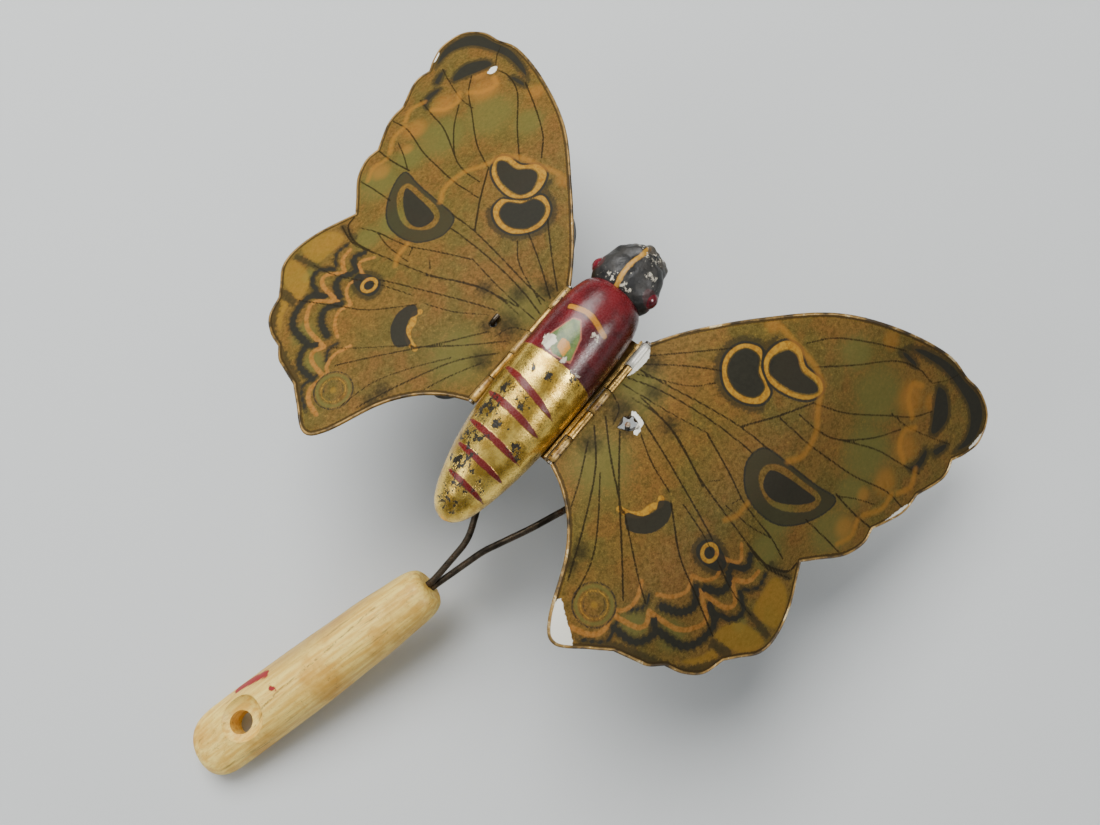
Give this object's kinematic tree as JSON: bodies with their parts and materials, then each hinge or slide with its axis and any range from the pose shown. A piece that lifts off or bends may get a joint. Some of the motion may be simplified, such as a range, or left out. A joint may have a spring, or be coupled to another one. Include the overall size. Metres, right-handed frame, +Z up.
{
  "type": "wing-flapping butterfly push toy",
  "caption": "Wheeled butterfly toy on a forked wire handle; hinged tin wings are worked up and down by links from a cranked axle.",
  "frame": {"origin": "bottom centre of the whole toy's box, on the surface it stands on", "axes": "+X towards the head, +Y to the toy's left, +Z up"},
  "size_m": [0.3146, 0.2836, 0.1257],
  "materials": {
    "gold_paint": "worn gold bronze paint with a maroon shoulder and red bands",
    "red_paint": "glossy red bead",
    "plain_wood": "bare turned peg",
    "tin": "dull tinplate",
    "steel": "tarnished steel",
    "wire": "dark drawn wire",
    "brass": "dull",
    "handle_wood": "worn bare wood",
    "wheel_enamel": "dark enamel, satin",
    "wing_litho": "printed butterfly pattern, semi gloss"
  },
  "bodies": {
    "chassis": {"body_moulding": "gold_paint", "head": "gold_paint", "eye_left": "red_paint", "eye_right": "red_paint", "neck_dowel": "plain_wood", "saddle": "tin", "body_screws": "steel", "axle_yoke": "tin", "crossbar": "tin", "crossbar_rivets": "steel", "hinge_pin_left": "steel", "hinge_pin_right": "steel", "fork_wire_left": "wire", "fork_wire_right": "wire", "handle": "handle_wood"},
    "crank": {"crank_axle": "steel", "wheel_left": "wheel_enamel", "wheel_right": "wheel_enamel", "hub_left": "steel", "hub_right": "steel", "hub_rivets_left": "steel", "hub_rivets_right": "steel", "axle_washers": "steel", "axle_caps": "brass"},
    "wing_left": {"wing_left": "wing_litho"},
    "wing_right": {"wing_right": "wing_litho"},
    "link_left": {"link_left": "wire"},
    "link_right": {"link_right": "wire"}
  },
  "joints": [
    {"name": "wheel_spin", "type": "hinge", "parent": "chassis", "child": "crank", "pos_m": [0.06956, -0.00769, 0.0488], "axis": [0, 1, 0], "continuous": true},
    {"name": "wing_left_flap", "type": "hinge", "parent": "chassis", "child": "wing_left", "pos_m": [0.04706, 0.01031, 0.1033], "axis": [1, 0, 0], "range_deg": [0, 22]},
    {"name": "wing_right_flap", "type": "hinge", "parent": "chassis", "child": "wing_right", "pos_m": [0.04706, -0.02569, 0.1033], "axis": [1, 0, 0], "range_deg": [-22, 0]},
    {"name": "link_left_swing", "type": "hinge", "parent": "wing_left", "child": "link_left", "pos_m": [0.04636, 0.02313, 0.10472], "axis": [1, 0, 0], "range_deg": [-22, 0]},
    {"name": "link_right_swing", "type": "hinge", "parent": "wing_right", "child": "link_right", "pos_m": [0.04636, -0.03854, 0.10432], "axis": [1, 0, 0], "range_deg": [0, 22]}
  ],
  "couplings": [
    {"joint": "wing_right_flap", "follows": "wing_left_flap", "ratio": -1},
    {"joint": "link_left_swing", "follows": "wing_left_flap", "ratio": -1},
    {"joint": "link_right_swing", "follows": "wing_left_flap", "ratio": 1}
  ]
}
